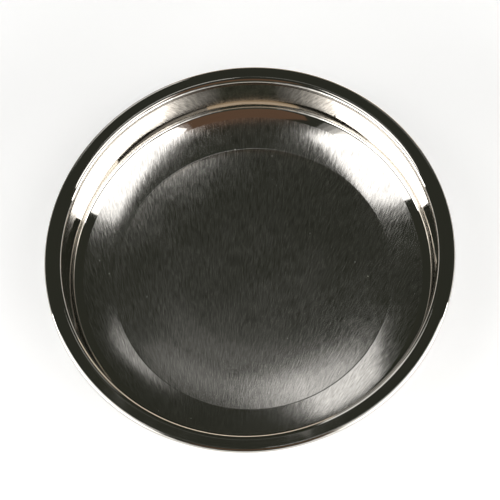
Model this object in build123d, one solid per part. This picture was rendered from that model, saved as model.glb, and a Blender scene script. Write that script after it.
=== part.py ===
from build123d import *

import os
from math import cos, radians, sin, tan

# A round, handleless steel pan with a flat rolled rim and a bonded heat-spreading base.
# Millimetres, +Z up. The origin is the centre of the underside, where the pan stands.
# Every piece is a body of revolution about Z, drawn as a section in the XZ plane.

# Driving dimensions
RIM_DIAMETER = 390.0  # over the rolled edge
DEPTH = 66.0  # rim top down to the middle of the floor
SHEET = 0.9  # shell sheet thickness
WIRE_DIAMETER = 4.6  # reinforcing wire inside the rolled edge
CORE_THICKNESS = 6.5  # aluminium heat-spreading disc, at its middle
CAP_SHEET = 0.6  # steel cap over the disc

# Shell, measured on its inner, upper surface
MOUTH_RADIUS = 177.5  # top of the wall, just under the lip
LIP_RADIUS = 6.3  # rounding from the wall out to the flat rim
WALL_SLOPE = 88.0  # degrees above level, so the wall leans out a little
COVE_RADIUS = 6.5  # tight bend at the foot of the wall
LEVEL_RADIUS = 70.0  # level middle of the floor's centre panel
PANEL_RADIUS = 136.5  # edge of the centre panel
PANEL_DROOP = 4.2  # degrees below level at the panel's edge, so the panel is slightly domed
PANEL_BEND = 4.0  # radius of the bend at the panel's edge
RAMP_SLOPE = 16.5  # degrees above level where the outer floor leaves the panel
COVE_SLOPE = 29.0  # degrees above level where the outer floor meets the cove

# Rolled edge
ROLL_GAP = 0.05  # between the wire and the sheet rolled round it
ROLL_TURN = 260.0  # degrees that the edge is rolled through

# Base
CORE_OVERHANG = 1.5  # core beyond the centre panel
CAP_GAP = 0.02  # between the core's rim and the cap
CAP_CORNER = 2.4  # outer rounding of the cap's bottom edge
RING_DEPTH = 0.25  # shallow rings pressed into the underside
RING_WIDTH = 2.4
RING_RADII = [30.0 + 15.0 * i for i in range(7)]

WIRE_RADIUS = WIRE_DIAMETER / 2
ROLL_RADIUS = WIRE_RADIUS + ROLL_GAP + SHEET
ROLL_CENTRE_RADIUS = RIM_DIAMETER / 2 - ROLL_RADIUS
FLOOR_Z = CAP_SHEET + CORE_THICKNESS + SHEET
RIM_Z = FLOOR_Z + DEPTH
WALL_TOP_Z = RIM_Z - LIP_RADIUS + LIP_RADIUS * cos(radians(WALL_SLOPE))
CORE_RADIUS = PANEL_RADIUS + CORE_OVERHANG
CAP_RADIUS = CORE_RADIUS + CAP_GAP + CAP_SHEET


def heading(slope):
    """Unit direction in the section, at a slope in degrees above level."""
    return cos(radians(slope)), sin(radians(slope))


def dome_radius():
    """Radius of the panel's dome, from its level middle to the bend at its edge."""
    run, drop = heading(PANEL_DROOP)
    bend = PANEL_BEND * tan(radians(PANEL_DROOP + RAMP_SLOPE) / 2)
    return (PANEL_RADIUS - bend * run - LEVEL_RADIUS) / drop


def ramp_radius(start):
    """Radius of the outer floor's arc, for its cove to turn into the line of the wall."""
    run_in, rise_in = heading(RAMP_SLOPE)
    run_out, rise_out = heading(COVE_SLOPE)
    run_wall, rise_wall = heading(WALL_SLOPE)
    climb = (run_in - run_out) / (rise_out - rise_in)
    wall_line = MOUTH_RADIUS * rise_wall - WALL_TOP_Z * run_wall
    cove_part = COVE_RADIUS * (rise_out * rise_wall + run_out * run_wall - 1)
    height_part = run_wall * (start.Y - start.X * climb)
    end = (wall_line + cove_part + height_part) / (rise_wall - climb * run_wall)
    return (end - start.X) / (rise_out - rise_in)


def wall_length(foot):
    """Length of the straight wall above the end of the cove."""
    return (WALL_TOP_Z - foot.Y) / heading(WALL_SLOPE)[1]


def shell_section():
    """Floor, wall, flat rim and rolled edge, drawn from one sheet of even thickness."""
    with BuildSketch(Plane.XZ) as section:
        with BuildLine():
            middle = Line((0, FLOOR_Z), (LEVEL_RADIUS, FLOOR_Z))
            dome = JernArc(middle @ 1, (1, 0), dome_radius(), -PANEL_DROOP)
            bend = JernArc(dome @ 1, dome % 1, PANEL_BEND, PANEL_DROOP + RAMP_SLOPE)
            ramp = JernArc(bend @ 1, bend % 1, ramp_radius(bend @ 1), COVE_SLOPE - RAMP_SLOPE)
            cove = JernArc(ramp @ 1, ramp % 1, COVE_RADIUS, WALL_SLOPE - COVE_SLOPE)
            wall = PolarLine(cove @ 1, wall_length(cove @ 1), WALL_SLOPE)
            lip = JernArc(wall @ 1, wall % 1, LIP_RADIUS, -WALL_SLOPE)
            rim = Line(lip @ 1, (ROLL_CENTRE_RADIUS, RIM_Z))
            JernArc(rim @ 1, (1, 0), ROLL_RADIUS, -ROLL_TURN)
            offset(amount=SHEET, side=Side.RIGHT)
        make_face()
    return section.sketch


def wire_section():
    """Round wire that stiffens the rim, inside the rolled edge."""
    with BuildSketch(Plane.XZ) as section:
        with Locations((ROLL_CENTRE_RADIUS, RIM_Z - ROLL_RADIUS)):
            Circle(WIRE_RADIUS)
    return section.sketch


def disc_section(radius, bottom, corner):
    """Half section of a disc with a rounded lower edge, up to the top of the floor."""
    with BuildSketch(Plane.XZ) as section:
        with BuildLine():
            underside = Line((0, bottom), (radius - corner, bottom))
            edge = JernArc(underside @ 1, (1, 0), corner, 90)
            Polyline(edge @ 1, (radius, FLOOR_Z), (0, FLOOR_Z), (0, bottom))
        make_face()
    return section.sketch


def below_shell(section):
    """The part of a section that lies under the shell."""
    return (section - shell_section()).faces().sort_by(Axis.Z)[0]


def core_section():
    """Aluminium disc bonded under the floor, its top pressed to the floor's shape."""
    return below_shell(disc_section(CORE_RADIUS, CAP_SHEET, CAP_CORNER - CAP_SHEET))


def cap_section():
    """Thin steel cup over the core, its edge against the shell, with shallow rings beneath."""
    outside = disc_section(CAP_RADIUS, 0, CAP_CORNER)
    inside = disc_section(CAP_RADIUS - CAP_SHEET, CAP_SHEET, CAP_CORNER - CAP_SHEET)
    ring_radius = ((RING_WIDTH / 2) ** 2 + RING_DEPTH**2) / (2 * RING_DEPTH)
    with BuildSketch(Plane.XZ) as rings:
        with Locations([(radius, RING_DEPTH - ring_radius) for radius in RING_RADII]):
            Circle(ring_radius)
    return below_shell(outside - inside - rings.sketch)


sections = {
    "pan_shell": shell_section(),
    "rim_wire": wire_section(),
    "base_core": core_section(),
    "base_cap": cap_section(),
}
os.makedirs("parts", exist_ok=True)
for name, section in sections.items():
    export_step(revolve(section, Axis.Z), f"parts/{name}.step")
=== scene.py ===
from math import cos, pi, radians, sin, tan

import bpy
import numpy as np
from mathutils import Matrix, Quaternion, Vector


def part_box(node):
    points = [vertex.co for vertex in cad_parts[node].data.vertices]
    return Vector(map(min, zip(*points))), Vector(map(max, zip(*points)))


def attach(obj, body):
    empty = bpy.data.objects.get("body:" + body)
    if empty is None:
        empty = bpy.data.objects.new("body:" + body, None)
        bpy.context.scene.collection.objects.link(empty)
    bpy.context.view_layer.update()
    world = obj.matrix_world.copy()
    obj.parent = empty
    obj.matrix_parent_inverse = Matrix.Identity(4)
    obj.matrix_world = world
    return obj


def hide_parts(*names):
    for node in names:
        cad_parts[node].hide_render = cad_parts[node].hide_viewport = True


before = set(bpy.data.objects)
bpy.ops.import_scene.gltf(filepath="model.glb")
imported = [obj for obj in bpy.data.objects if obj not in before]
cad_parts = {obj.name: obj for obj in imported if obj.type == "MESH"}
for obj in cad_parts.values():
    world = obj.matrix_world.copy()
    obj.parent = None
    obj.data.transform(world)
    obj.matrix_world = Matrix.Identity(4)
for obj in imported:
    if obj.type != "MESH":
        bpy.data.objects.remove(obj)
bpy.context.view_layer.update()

# The pan: a mirror-polished wall and rim, a satin-brushed floor and a turned underside.
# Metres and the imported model's frame: +Z up, origin at the centre of the underside.

# Shell, measured on its inner, upper surface
SHEET = 0.0009
DEPTH = 0.066
MOUTH_RADIUS = 0.1775
LIP_RADIUS = 0.0063
WALL_SLOPE = radians(88)
COVE_RADIUS = 0.0065
LEVEL_RADIUS = 0.070
PANEL_RADIUS = 0.1365
PANEL_DROOP = radians(4.2)
PANEL_BEND = 0.004
RAMP_SLOPE = radians(16.5)
COVE_SLOPE = radians(29)
ROLL_TURN = radians(260)
WIRE_CLEARANCE = 0.00005
BRUSHED_PART = 0.8  # of the outer floor; the rest of it, at the cove, is polished like the wall
BRUSHED_FROM = (-0.095, -0.32)  # the floor's brush lines fan out from here

FIT = 0.00006  # the shell's rim stays this far inside the CAD shell's box
TURN_STEPS = 300  # facets round the axis

rim_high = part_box("pan_shell")[1]
wire_low, wire_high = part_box("rim_wire")
CAP_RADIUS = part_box("base_cap")[1][0]
RIM_RADIUS = rim_high[0] - FIT
RIM_Z = rim_high[2]
FLOOR_Z = RIM_Z - DEPTH
ROLL_RADIUS = (wire_high[2] - wire_low[2]) / 2 + WIRE_CLEARANCE + SHEET

# The shell's materials, in the order of its material slots
SATIN, POLISHED, OUTSIDE = 0, 1, 2


class Section:
    """A line in the RZ plane, drawn by going forward and turning, with its left normals."""

    def __init__(self, r, z):
        self.heading = 0.0
        self.r, self.z, self.normal_r, self.normal_z, self.skin = [], [], [], [], []
        self.add(r, z, SATIN)

    def add(self, r, z, skin):
        self.r.append(r)
        self.z.append(z)
        self.normal_r.append(-sin(self.heading))
        self.normal_z.append(cos(self.heading))
        self.skin.append(skin)

    def forward(self, length, steps, skin):
        r, z = self.r[-1], self.z[-1]
        for i in range(1, steps + 1):
            reach = length * i / steps
            self.add(r + reach * cos(self.heading), z + reach * sin(self.heading), skin)

    def turn(self, radius, angle, steps, skin):
        chord = 2 * radius * sin(abs(angle) / steps / 2)
        for _ in range(steps):
            middle = self.heading + angle / steps / 2
            self.heading += angle / steps
            self.add(self.r[-1] + chord * cos(middle), self.z[-1] + chord * sin(middle), skin)


def shell_section():
    """The shell's upper side from the centre of the floor to the free edge of its roll."""
    line = Section(0.0, FLOOR_Z)
    line.forward(LEVEL_RADIUS, steps=10, skin=SATIN)
    bend = PANEL_BEND * tan((PANEL_DROOP + RAMP_SLOPE) / 2) * cos(PANEL_DROOP)
    dome_radius = (PANEL_RADIUS - bend - LEVEL_RADIUS) / sin(PANEL_DROOP)
    line.turn(dome_radius, -PANEL_DROOP, steps=16, skin=SATIN)
    line.turn(PANEL_BEND, PANEL_DROOP + RAMP_SLOPE, steps=10, skin=SATIN)
    # The outer floor ends where the cove turns into the line of the wall.
    climb = (cos(RAMP_SLOPE) - cos(COVE_SLOPE)) / (sin(COVE_SLOPE) - sin(RAMP_SLOPE))
    wall_top_z = RIM_Z - LIP_RADIUS + LIP_RADIUS * cos(WALL_SLOPE)
    run, rise = cos(WALL_SLOPE), sin(WALL_SLOPE)
    wall_line = MOUTH_RADIUS * rise - wall_top_z * run
    cove_part = COVE_RADIUS * (sin(COVE_SLOPE) * rise + cos(COVE_SLOPE) * run - 1)
    height_part = run * (line.z[-1] - line.r[-1] * climb)
    end = (wall_line + cove_part + height_part) / (rise - climb * run)
    ramp_radius = (end - line.r[-1]) / (sin(COVE_SLOPE) - sin(RAMP_SLOPE))
    ramp_turn = COVE_SLOPE - RAMP_SLOPE
    line.turn(ramp_radius, BRUSHED_PART * ramp_turn, steps=16, skin=SATIN)
    line.turn(ramp_radius, (1 - BRUSHED_PART) * ramp_turn, steps=4, skin=POLISHED)
    line.turn(COVE_RADIUS, WALL_SLOPE - COVE_SLOPE, steps=20, skin=POLISHED)
    line.forward((wall_top_z - line.z[-1]) / rise, steps=14, skin=POLISHED)
    line.turn(LIP_RADIUS, -WALL_SLOPE, steps=20, skin=POLISHED)
    line.forward(RIM_RADIUS - ROLL_RADIUS - line.r[-1], steps=4, skin=POLISHED)
    line.turn(ROLL_RADIUS, -ROLL_TURN, steps=44, skin=POLISHED)
    return line


def sheet_loop(line, thickness):
    """A sheet's closed section: along its upper side, and back at its thickness below it."""
    r, z = np.array(line.r), np.array(line.z)
    nr, nz = np.array(line.normal_r), np.array(line.normal_z)
    back_r, back_z = (r - thickness * nr)[::-1], (z - thickness * nz)[::-1]
    return (
        np.concatenate([r, back_r]),
        np.concatenate([z, back_z]),
        np.concatenate([nr, -nr[::-1]]),
        np.concatenate([nz, -nz[::-1]]),
        np.concatenate([line.skin, np.full(len(r), OUTSIDE)]),
    )


def revolve(name, loop, materials):
    """A mesh of a section whose ends are on the Z axis, turned about it, with smooth normals."""
    r, z, nr, nz, skin = loop
    # The two ends come first, and then a row of the points between them for each step.
    inner = np.arange(1, len(r) - 1)
    width = len(inner)
    verts = [(0.0, 0.0, z[0]), (0.0, 0.0, z[-1])]
    normals = [(0.0, 0.0, nz[0]), (0.0, 0.0, nz[-1])]
    for a in np.arange(TURN_STEPS) * 2 * pi / TURN_STEPS:
        verts += list(zip(r[inner] * cos(a), r[inner] * sin(a), z[inner]))
        normals += list(zip(nr[inner] * cos(a), nr[inner] * sin(a), nz[inner]))
    faces, kinds = [], []
    for i in range(TURN_STEPS):
        here = 2 + i * width
        there = 2 + (i + 1) % TURN_STEPS * width
        faces.append((0, here, there))
        kinds.append(int(skin[1]))
        for j in range(width - 1):
            faces.append((here + j, here + j + 1, there + j + 1, there + j))
            kinds.append(int(skin[inner[j + 1]]))
        faces.append((here + width - 1, 1, there + width - 1))
        kinds.append(int(skin[-1]))
    mesh = bpy.data.meshes.new(name)
    mesh.from_pydata(verts, [], faces)
    for material in materials:
        mesh.materials.append(material)
    mesh.polygons.foreach_set("material_index", kinds)
    mesh.polygons.foreach_set("use_smooth", [True] * len(faces))
    mesh.normals_split_custom_set_from_vertices(normals)
    piece = bpy.data.objects.new(name, mesh)
    bpy.context.scene.collection.objects.link(piece)
    return piece


# Inputs and output of a Mix node that mixes colours
MIX_FACTOR, MIX_LOW, MIX_HIGH, MIX_RESULT = 0, 6, 7, 2

# Most of a noise's values lie between these
NOISE_LOW, NOISE_HIGH = 0.3, 0.7


def new_material(name):
    material = bpy.data.materials.new(name)
    material.use_nodes = True
    nodes = material.node_tree.nodes
    nodes.clear()
    shader = nodes.new("ShaderNodeBsdfPrincipled")
    output = nodes.new("ShaderNodeOutputMaterial")
    material.node_tree.links.new(shader.outputs[0], output.inputs[0])
    return material, shader


def plug(material, socket, value):
    """Give an input a constant, or the first output of another node."""
    if isinstance(value, bpy.types.Node):
        value = value.outputs[0]
    if isinstance(value, bpy.types.NodeSocket):
        material.node_tree.links.new(value, socket)
    else:
        socket.default_value = value


def node(material, kind, inputs, **settings):
    """Add a shader node to a material or a world, with its inputs by name or number."""
    made = material.node_tree.nodes.new("ShaderNode" + kind)
    for key, value in settings.items():
        setattr(made, key, value)
    for key, value in inputs.items():
        plug(material, made.inputs[key], value)
    return made


def compute(material, operation, *values):
    return node(material, "Math", dict(enumerate(values)), operation=operation)


def add(material, first, second):
    return compute(material, "ADD", first, second)


def times(material, first, second):
    return compute(material, "MULTIPLY", first, second)


def noise(material, vector, scale, detail=2.0, roughness=0.5):
    inputs = {"Vector": vector, "Scale": scale, "Detail": detail, "Roughness": roughness}
    return node(material, "TexNoise", inputs)


def ramp(material, value, low, high, to_low, to_high):
    """Carry a value from one range to another, held at the ends."""
    inputs = {"Value": value, "From Min": low, "From Max": high, "To Min": to_low, "To Max": to_high}
    return node(material, "MapRange", inputs)


def spread(material, noise_value, to_low=0.0, to_high=1.0):
    """Carry a noise's usual range to another, held at the ends."""
    return ramp(material, noise_value, NOISE_LOW, NOISE_HIGH, to_low, to_high)


def tone(material, factor, low, high):
    """Mix two colours by a factor. Each is a tuple or another mix."""
    made = node(material, "Mix", {MIX_FACTOR: factor}, data_type="RGBA")
    for socket, colour in ((MIX_LOW, low), (MIX_HIGH, high)):
        plug(material, made.inputs[socket], (*colour, 1) if isinstance(colour, tuple) else colour)
    return made.outputs[MIX_RESULT]


def bump(material, height, distance, below=None):
    """Relief from a pattern, as deep as a distance, over another relief if there is one."""
    inputs = {"Height": height, "Distance": distance, "Strength": 1.0}
    if below:
        inputs["Normal"] = below
    return node(material, "Bump", inputs)


def own_place(material):
    """The point's place in its piece's own frame, so that a pattern moves with the piece."""
    return node(material, "TexCoord", {}).outputs["Object"]


def about(material, centre_x=0.0, centre_y=0.0):
    """X, Y and Z from a point on the ground, and the distance from the upright line through it."""
    centre = (centre_x, centre_y, 0)
    place = node(material, "VectorMath", {0: own_place(material), 1: centre}, operation="SUBTRACT")
    x, y, z = node(material, "SeparateXYZ", {0: place}).outputs
    squares = add(material, times(material, x, x), times(material, y, y))
    return x, y, z, compute(material, "SQRT", squares)


def stretched(material, *parts):
    """A noise coordinate of up to three (value, scale) pairs, fine one way and long another."""
    scaled = {i: times(material, value, scale) for i, (value, scale) in enumerate(parts)}
    return node(material, "CombineXYZ", scaled)


def finish(material, shader, colour, roughness, normal):
    """Put a metal's procedural parts on its shader."""
    shader.inputs["Metallic"].default_value = 1
    plug(material, shader.inputs["Base Color"], colour)
    plug(material, shader.inputs["Roughness"], roughness)
    plug(material, shader.inputs["Normal"], normal)
    return material


def satin_steel():
    """The floor: brushed in lines that fan out from a point in front of the pan, then worn."""
    material, shader = new_material("satin_steel")
    x, y, _, reach = about(material, *BRUSHED_FROM)
    angle = compute(material, "ARCTAN2", y, x)
    place = own_place(material)
    coarse = noise(material, stretched(material, (angle, 250), (reach, 85)), 1.0)
    fine = noise(material, stretched(material, (angle, 600), (reach, 150)), 1.0)
    streaks = times(material, add(material, coarse, fine), 0.5)
    scratch = noise(material, stretched(material, (angle, 900), (reach, 40)), 1.0, 0.0)
    scratch = ramp(material, scratch, 0.8, 0.86, 0.0, 0.09)
    smudge = ramp(material, noise(material, place, 26.0, 3.0, 0.6), 0.35, 0.7, -0.015, 0.03)
    speck = ramp(material, noise(material, place, 420.0, 0.0), 0.9, 0.93, 0.0, 0.2)
    roughness = add(material, spread(material, streaks, 0.12, 0.17), smudge)
    roughness = add(material, add(material, roughness, scratch), speck)
    dark, bright = (0.33, 0.315, 0.295), (0.79, 0.76, 0.72)
    colour = tone(material, spread(material, streaks), dark, bright)
    return finish(material, shader, colour, roughness, bump(material, streaks, 0.00003))


def polished_steel():
    """The wall, lip and rim: a mirror with faint lines round it and a slightly wavy sheet."""
    material, shader = new_material("polished_steel")
    x, y, z, reach = about(material)
    run = add(material, reach, z)
    lines = noise(material, stretched(material, (run, 2400), (x, 28), (y, 28)), 1.0)
    waves = noise(material, stretched(material, (x, 38), (y, 38), (z, 13)), 1.0, 1.0)
    smudge = ramp(material, noise(material, own_place(material), 30.0, 3.0, 0.6), 0.5, 0.75, 0.0, 0.03)
    roughness = add(material, spread(material, lines, 0.025, 0.05), smudge)
    dark, bright = (0.54, 0.515, 0.475), (0.58, 0.555, 0.515)
    colour = tone(material, spread(material, lines), dark, bright)
    normal = bump(material, lines, 0.000001, bump(material, waves, 0.00006))
    return finish(material, shader, colour, roughness, normal)


def outside_steel():
    """The outside of the sheet: a duller polish with drawing lines round it and rub marks."""
    material, shader = new_material("outside_steel")
    x, y, z, reach = about(material)
    run = add(material, reach, z)
    lines = noise(material, stretched(material, (run, 1500), (x, 22), (y, 22)), 1.0, 3.0)
    smudge = ramp(material, noise(material, own_place(material), 24.0, 4.0, 0.6), 0.4, 0.75, 0.0, 0.08)
    roughness = add(material, spread(material, lines, 0.12, 0.22), smudge)
    dark, bright = (0.40, 0.39, 0.37), (0.52, 0.505, 0.48)
    colour = tone(material, spread(material, lines), dark, bright)
    return finish(material, shader, colour, roughness, bump(material, lines, 0.000006))


def turned_steel():
    """The underside: turning marks, scuffs from hobs, heat tint in rings, and a darker, rougher tone
    where its face is raised above the ground.
    """
    material, shader = new_material("turned_steel")
    x, y, z, reach = about(material)
    marks = noise(material, stretched(material, (reach, 1300), (x, 15), (y, 15)), 1.0, 3.0)
    scuff = noise(material, stretched(material, (x, 60), (y, 360), (z, 60)), 1.0, 4.0, 0.65)
    scuff = ramp(material, scuff, 0.6, 0.72, 0.0, 0.14)
    cloud = noise(material, own_place(material), 14.0)
    rings = add(material, times(material, reach, 46.0), times(material, cloud, 2.2))
    tint = ramp(material, compute(material, "SINE", rings), -0.6, 1.0, 0.0, 0.7)
    # Darker and rougher where the face is raised above the ground, but not on the cap's rounded edge.
    inside_edge = ramp(material, reach, CAP_RADIUS - 0.006, CAP_RADIUS - 0.004, 1.0, 0.0)
    recess_mask = times(material, ramp(material, z, 0.00004, 0.0002, 0.0, 0.8), inside_edge)
    steel = tone(material, spread(material, marks), (0.44, 0.425, 0.40), (0.62, 0.60, 0.57))
    tinted = tone(material, tint, steel, (0.48, 0.42, 0.34))
    colour = tone(material, recess_mask, tinted, (0.15, 0.135, 0.12))
    roughness = add(material, spread(material, marks, 0.2, 0.34), scuff)
    roughness = add(material, roughness, times(material, recess_mask, 0.2))
    return finish(material, shader, colour, roughness, bump(material, marks, 0.00002))


def plain_metal(name, colour, roughness):
    """Wire and core, which stay hidden between the sheets: dull metal with a fine grain."""
    material, shader = new_material(name)
    grain = noise(material, own_place(material), 900.0)
    darker = tuple(0.85 * part for part in colour)
    rough = spread(material, grain, roughness - 0.06, roughness + 0.06)
    shade = tone(material, grain, darker, colour)
    return finish(material, shader, shade, rough, bump(material, grain, 0.00001))


shell = revolve(
    "shell", sheet_loop(shell_section(), SHEET), [satin_steel(), polished_steel(), outside_steel()]
)
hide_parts("pan_shell")
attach(shell, "root")

for name, skin in (
    ("base_cap", turned_steel()),
    ("base_core", plain_metal("core_aluminium", (0.80, 0.80, 0.81), 0.35)),
    ("rim_wire", plain_metal("wire_steel", (0.55, 0.54, 0.52), 0.3)),
):
    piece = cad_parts[name]
    piece.data.materials.clear()
    piece.data.materials.append(skin)

# Studio
FLOOR_HALF = 20.0
FLOOR_BELOW = 0.0002  # the pan's underside, so that the two don't coincide
LAMP_DISTANCE = 2.5
CEILING_DISTANCE = 5.0

# In degrees: azimuths where the side lamps end towards the front, elevations of the high ones
LEFT_HIGH_END, RIGHT_HIGH_END = 202, -56
LEFT_LOW_END, RIGHT_LOW_END = 220, -64
HIGH = (42, 68)

# Degrees of azimuth that each strip beside a side lamp covers
HIGH_STRIP, LOW_STRIP = 3, 5

# Elevations in degrees where the background's pale part ends and its dark part starts
PALE_END, DARK_START = 8.5, 10

WHITE = (1, 1, 1)
WARM_WHITE = (1.0, 0.78, 0.55)
GREENISH = (0.9, 1.0, 0.75)
BROWN = (1.0, 0.45, 0.24)


def floor():
    """A pale floor just under the pan, which glows more with distance, where no lamp lights it."""
    mesh = bpy.data.meshes.new("floor")
    half, low = FLOOR_HALF, -FLOOR_BELOW
    corners = [(-half, -half, low), (half, -half, low), (half, half, low), (-half, half, low)]
    mesh.from_pydata(corners, [], [(0, 1, 2, 3)])
    material, shader = new_material("pale_floor")
    shader.inputs["Base Color"].default_value = (0.9, 0.9, 0.9, 1)
    shader.inputs["Emission Color"].default_value = (1, 1, 1, 1)
    shader.inputs["Roughness"].default_value = 0.9
    near, far = 1.0, 5.0
    glow = ramp(material, about(material)[3], near, far, 0.38, 0.9)
    plug(material, shader.inputs["Emission Strength"], glow)
    mesh.materials.append(material)
    piece = bpy.data.objects.new("floor", mesh)
    bpy.context.scene.collection.objects.link(piece)


def softbox(name, azimuth, elevation, distance, width, height, radiance, colour=WHITE, spin=0.0):
    """A rectangular lamp facing the pan, with angles in degrees. Azimuth is from +X towards +Y."""
    az, el = radians(azimuth), radians(elevation)
    toward = Vector((cos(el) * cos(az), cos(el) * sin(az), sin(el)))
    data = bpy.data.lights.new(name, "AREA")
    data.shape = "RECTANGLE"
    data.size = width
    data.size_y = height
    data.energy = radiance * pi * width * height
    data.color = colour
    lamp = bpy.data.objects.new(name, data)
    lamp.location = Vector((0, 0, RIM_Z)) + toward * distance
    facing = toward.to_track_quat("Z", "Y") @ Quaternion((0, 0, 1), radians(spin))
    lamp.rotation_euler = facing.to_euler()
    bpy.context.scene.collection.objects.link(lamp)


def span(azimuth_low, azimuth_high, elevation_low, elevation_high):
    """Direction, distance and size of a lamp that covers a range of directions, in degrees."""
    el = (elevation_low + elevation_high) / 2
    width = 2 * LAMP_DISTANCE * tan(radians((azimuth_high - azimuth_low) / 2)) * cos(radians(el))
    height = 2 * LAMP_DISTANCE * tan(radians((elevation_high - elevation_low) / 2))
    return (azimuth_low + azimuth_high) / 2, el, LAMP_DISTANCE, width, height


def side_lamps():
    """Two lamps on each side. Strips, each half as bright as the last, fade their front ends."""
    softbox("left_high", *span(162, LEFT_HIGH_END, *HIGH), 2.3)
    softbox("right_high", *span(RIGHT_HIGH_END, -2, *HIGH), 2.2)
    softbox("left_low", *span(168, LEFT_LOW_END, 6, 28), 6.0)
    softbox("right_low", *span(RIGHT_LOW_END, -8, 2, 26), 6.0)
    for i in range(4):
        near, far = HIGH_STRIP * i, HIGH_STRIP * (i + 1)
        radiance = 1.6 / 2**i
        softbox(f"left_high_{i}", *span(LEFT_HIGH_END + near, LEFT_HIGH_END + far, *HIGH), radiance)
        softbox(f"right_high_{i}", *span(RIGHT_HIGH_END - far, RIGHT_HIGH_END - near, *HIGH), radiance)
    for i in range(5):
        near, far = LOW_STRIP * i, LOW_STRIP * (i + 1)
        radiance = 3.0 / 2**i
        softbox(f"left_low_{i}", *span(LEFT_LOW_END + near, LEFT_LOW_END + far, 6, 28), radiance)
        softbox(f"right_low_{i}", *span(RIGHT_LOW_END - far, RIGHT_LOW_END - near, 4, 27), radiance)


def ceiling_lamps():
    """Lamps high over the pan, for the floor's centre panel, each turned about its own axis."""
    for name, azimuth, elevation, width, height, radiance, spin in (
        ("overhead", 59.0, 81.0, 1.0, 0.55, 1.1, 31.0),
        ("panel_middle", 98.0, 74.0, 0.8, 0.33, 0.15, -31.0),
        ("panel_side", 121.0, 76.3, 0.9, 0.33, 0.3, -66.0),
    ):
        softbox(name, azimuth, elevation, CEILING_DISTANCE, width, height, radiance, spin=spin)


def weak_lamps():
    """Dimmer lamps behind the pan and in front of it, some of them tinted."""
    softbox("strip", *span(96, 115, 27, 54), 1.15)
    softbox("back_low", *span(40, 100, 0, 12), 1.1, WARM_WHITE)
    softbox("back_high", *span(46, 66, 44, 53), 0.45)
    softbox("front", *span(-116, -88, 4, 34), 0.045, GREENISH)
    softbox("warm_card", *span(-126, -54, 40, 68), 0.12, BROWN)


def studio():
    """A dark room above a pale horizon, so that the floor runs on into the background."""
    world = bpy.data.worlds.new("studio")
    world.use_nodes = True
    direction = node(world, "TexCoord", {}).outputs["Generated"]
    height = node(world, "SeparateXYZ", {0: direction}).outputs[2]
    dark = ramp(world, height, sin(radians(PALE_END)), sin(radians(DARK_START)), 0.0, 1.0)
    colour = tone(world, dark, (0.88, 0.88, 0.88), (0.038, 0.041, 0.032))
    plug(world, world.node_tree.nodes["Background"].inputs[0], colour)
    bpy.context.scene.world = world


floor()
side_lamps()
ceiling_lamps()
weak_lamps()
studio()

# Camera
CAMERA_ELEVATION = radians(68.7)
CAMERA_ROLL = radians(10.1)
CAMERA_DISTANCE = 1.56
CAMERA_ASIDE = 0.0018  # towards +X, from facing the middle of the rim
LENS, SENSOR_WIDTH = 118.9, 36  # millimetres


def place_camera():
    """A camera in front of the pan and high above it, rolled a little about its own axis."""
    target = Vector((0, 0, RIM_Z))
    back = Vector((0, -cos(CAMERA_ELEVATION), sin(CAMERA_ELEVATION)))
    up = Vector((0, sin(CAMERA_ELEVATION), cos(CAMERA_ELEVATION)))
    right = Vector((1, 0, 0))
    camera_x = cos(CAMERA_ROLL) * right - sin(CAMERA_ROLL) * up
    camera_y = sin(CAMERA_ROLL) * right + cos(CAMERA_ROLL) * up
    place = Matrix((camera_x, camera_y, back)).transposed().to_4x4()
    place.translation = target + back * CAMERA_DISTANCE + right * CAMERA_ASIDE
    data = bpy.data.cameras.new("camera")
    data.lens = LENS
    data.sensor_width = SENSOR_WIDTH
    camera = bpy.data.objects.new("camera", data)
    camera.matrix_world = place
    bpy.context.scene.collection.objects.link(camera)
    bpy.context.scene.camera = camera


place_camera()
bpy.context.scene.view_settings.view_transform = "Standard"
